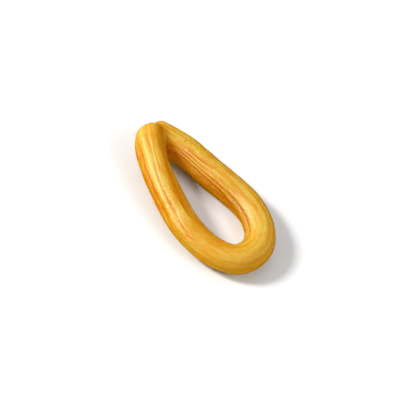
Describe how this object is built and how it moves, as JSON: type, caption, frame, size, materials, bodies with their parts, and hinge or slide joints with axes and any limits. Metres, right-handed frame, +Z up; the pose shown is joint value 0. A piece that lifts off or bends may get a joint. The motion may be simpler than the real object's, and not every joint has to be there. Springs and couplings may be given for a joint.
{
  "type": "churro",
  "caption": "Fried dough churro: one ridged rope bent into a teardrop loop, its two ends pressed together at the tip. It lies flat on its underside.",
  "frame": {"origin": "middle of the footprint, on the surface that the churro lies on", "axes": "+Y along the loop towards its pressed tip, +X to the right across it, +Z up"},
  "size_m": [0.0576, 0.1072, 0.0245],
  "materials": {
    "fried_dough": "golden fried dough crust, lightly oily: pale yellow on the ridges, deeper orange in the grooves"
  },
  "bodies": {
    "root": {"churro": "fried_dough"}
  },
  "joints": []
}
